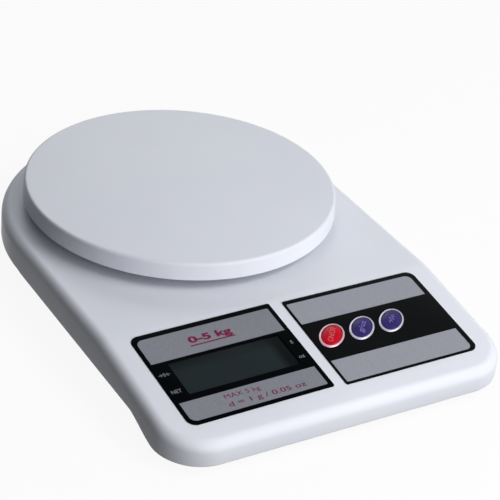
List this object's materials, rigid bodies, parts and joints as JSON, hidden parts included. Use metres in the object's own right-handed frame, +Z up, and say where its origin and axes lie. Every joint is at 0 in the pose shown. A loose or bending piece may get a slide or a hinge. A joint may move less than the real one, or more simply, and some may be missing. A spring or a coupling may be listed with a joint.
{
  "type": "digital kitchen scale",
  "caption": "Slim digital kitchen scale: round weighing pan over a D-shaped housing, sloping front panel with a display window and three oval keys.",
  "frame": {"origin": "on the table, under the middle of the housing", "axes": "+Z up, +Y towards the round back end under the pan, +X to the right as the display is read"},
  "size_m": [0.17, 0.2425, 0.038],
  "materials": {
    "housing_plastic": "cool white moulded ABS, satin gloss",
    "tray_plastic": "cool white moulded ABS, fine matt texture",
    "pan_plastic": "cool white moulded ABS, satin gloss",
    "carrier_plastic": "grey glass-filled nylon, matt",
    "foot_rubber": "dark grey rubber, matt",
    "screw_steel": "zinc-plated steel",
    "cell_aluminium": "milled and clear-anodised aluminium",
    "sealant": "white silicone, matt",
    "label_paper": "satin silver-white paper, bare",
    "display_film": "back-printed polyester film, black and silver-grey",
    "keypad_film": "back-printed polyester film, black and silver-grey",
    "window_plastic": "clear acrylic lens, smoked",
    "lcd_glass": "display glass with grey-green polariser",
    "frame_plastic": "white ABS",
    "zebra_rubber": "conductive silicone",
    "ring_metal": "silver-plated plastic ring",
    "red_key": "glossy red ABS",
    "blue_key": "glossy indigo ABS",
    "switch_plastic": "black nylon",
    "board": "green solder mask on glass-epoxy",
    "chip_resin": "black epoxy",
    "resistor_ceramic": "black film on ceramic with tinned ends",
    "capacitor_ceramic": "tan ceramic with tinned ends",
    "crystal_steel": "nickel-plated can",
    "cell_jacket": "plain plastic jacket on a steel can",
    "contact_steel": "nickel-plated spring steel",
    "red_lead": "red PVC insulation",
    "black_lead": "black PVC insulation"
  },
  "bodies": {
    "base": {"upper_housing": "housing_plastic", "lower_housing": "tray_plastic", "rubber_feet": "foot_rubber", "housing_screws": "screw_steel", "rating_label": "label_paper", "load_cell": "cell_aluminium", "gauge_sealant": "sealant", "load_cell_spacer": "screw_steel", "load_cell_screws": "screw_steel", "overload_stop": "screw_steel", "load_cell_wires": "red_lead", "display_overlay": "display_film", "display_window": "window_plastic", "lcd_glass": "lcd_glass", "lcd_frame": "frame_plastic", "zebra_strips": "zebra_rubber", "keypad_overlay": "keypad_film", "key_rings": "ring_metal", "key_switches": "switch_plastic", "circuit_board": "board", "board_screws": "screw_steel", "processor_blob": "chip_resin", "board_resistors": "resistor_ceramic", "board_capacitors": "capacitor_ceramic", "crystal_can": "crystal_steel", "battery_front": "cell_jacket", "battery_rear": "cell_jacket", "battery_springs": "contact_steel", "contact_link": "contact_steel", "contact_tabs": "contact_steel", "positive_lead": "red_lead", "negative_lead": "black_lead"},
    "pan": {"weighing_pan": "pan_plastic", "pan_carrier": "carrier_plastic", "carrier_screws": "screw_steel"},
    "power_button": {"power_key": "red_key", "power_stem": "switch_plastic"},
    "unit_button": {"unit_key": "blue_key", "unit_stem": "switch_plastic"},
    "tare_button": {"tare_key": "blue_key", "tare_stem": "switch_plastic"},
    "door": {"battery_door": "tray_plastic"}
  },
  "joints": [
    {"name": "pan_sink", "type": "slide", "parent": "base", "child": "pan", "axis": [0, 0, -1], "range_m": [0, 0.0006], "stiffness_N_per_m": 98000, "deforming": ["load_cell", "gauge_sealant"]},
    {"name": "power_press", "type": "slide", "parent": "base", "child": "power_button", "axis": [0, 0.1297, -0.9916], "range_m": [0, 0.0005], "stiffness_N_per_m": 4000, "springref_m": -0.0002},
    {"name": "unit_press", "type": "slide", "parent": "base", "child": "unit_button", "axis": [0, 0.1297, -0.9916], "range_m": [0, 0.0005], "stiffness_N_per_m": 4000, "springref_m": -0.0002},
    {"name": "tare_press", "type": "slide", "parent": "base", "child": "tare_button", "axis": [0, 0.1297, -0.9916], "range_m": [0, 0.0005], "stiffness_N_per_m": 4000, "springref_m": -0.0002},
    {"name": "door_swing", "type": "hinge", "parent": "base", "child": "door", "pos_m": [0, -0.007, 0.006], "axis": [1, 0, 0], "range_deg": [0, 70]}
  ]
}
